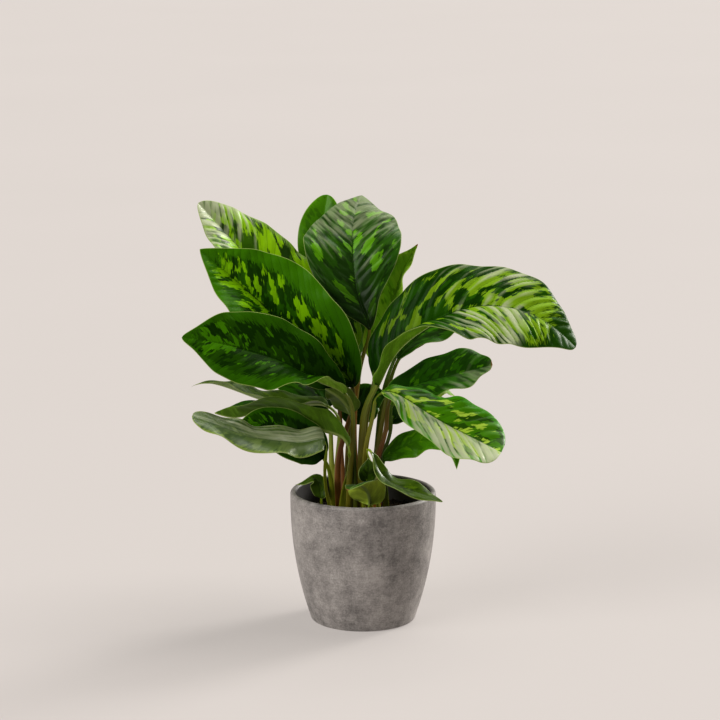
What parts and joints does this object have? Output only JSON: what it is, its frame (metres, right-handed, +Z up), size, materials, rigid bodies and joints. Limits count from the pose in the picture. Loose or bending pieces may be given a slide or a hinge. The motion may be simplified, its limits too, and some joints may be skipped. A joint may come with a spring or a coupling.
{
  "type": "potted homalomena",
  "caption": "House plant with patterned oval leaves on long stalks, standing in soil in a round grey cement-look pot.",
  "frame": {"origin": "centre of the pot's flat underside, on the pot's axis", "axes": "+Z up along the pot's axis, -Y the front, +X to the right as seen from the front"},
  "size_m": [0.3681, 0.253, 0.3995],
  "materials": {
    "cement": "dull, mottled grey cement",
    "soil": "loose, crumbly dark soil",
    "leaf": "soft sheen, dark green with lime patches",
    "stalk": "soft sheen, red-brown to yellow-green"
  },
  "bodies": {
    "root": {"pot": "cement", "soil": "soil", "blade_upper_left_back": "leaf", "stalk_upper_left_back": "stalk", "blade_upper_left_front": "leaf", "stalk_upper_left_front": "stalk", "blade_left_front": "leaf", "stalk_left_front": "stalk", "blade_tall_middle": "leaf", "stalk_tall_middle": "stalk", "blade_tall_behind": "leaf", "stalk_tall_behind": "stalk", "blade_narrow_behind": "leaf", "stalk_narrow_behind": "stalk", "blade_big_right": "leaf", "stalk_big_right": "stalk", "blade_right_behind": "leaf", "stalk_right_behind": "stalk", "blade_right_middle": "leaf", "stalk_right_middle": "stalk", "blade_right_front": "leaf", "stalk_right_front": "stalk", "blade_right_low": "leaf", "stalk_right_low": "stalk", "blade_right_inner": "leaf", "stalk_right_inner": "stalk", "blade_left_thin": "leaf", "stalk_left_thin": "stalk", "blade_left_cupped": "leaf", "stalk_left_cupped": "stalk", "blade_left_low_dark": "leaf", "stalk_left_low_dark": "stalk", "blade_left_low_long": "leaf", "stalk_left_low_long": "stalk", "blade_rim_left": "leaf", "stalk_rim_left": "stalk", "blade_rim_front": "leaf", "stalk_rim_front": "stalk", "blade_rim_right": "leaf", "stalk_rim_right": "stalk", "blade_young_upright": "leaf", "stalk_young_upright": "stalk", "blade_low_back_middle": "leaf", "stalk_low_back_middle": "stalk", "blade_middle_folded": "leaf", "stalk_middle_folded": "stalk", "blade_back_left": "leaf", "stalk_back_left": "stalk", "blade_back_right": "leaf", "stalk_back_right": "stalk", "blade_back_middle": "leaf", "stalk_back_middle": "stalk", "blade_low_back_left": "leaf", "stalk_low_back_left": "stalk", "blade_low_back_right": "leaf", "stalk_low_back_right": "stalk"}
  },
  "joints": []
}
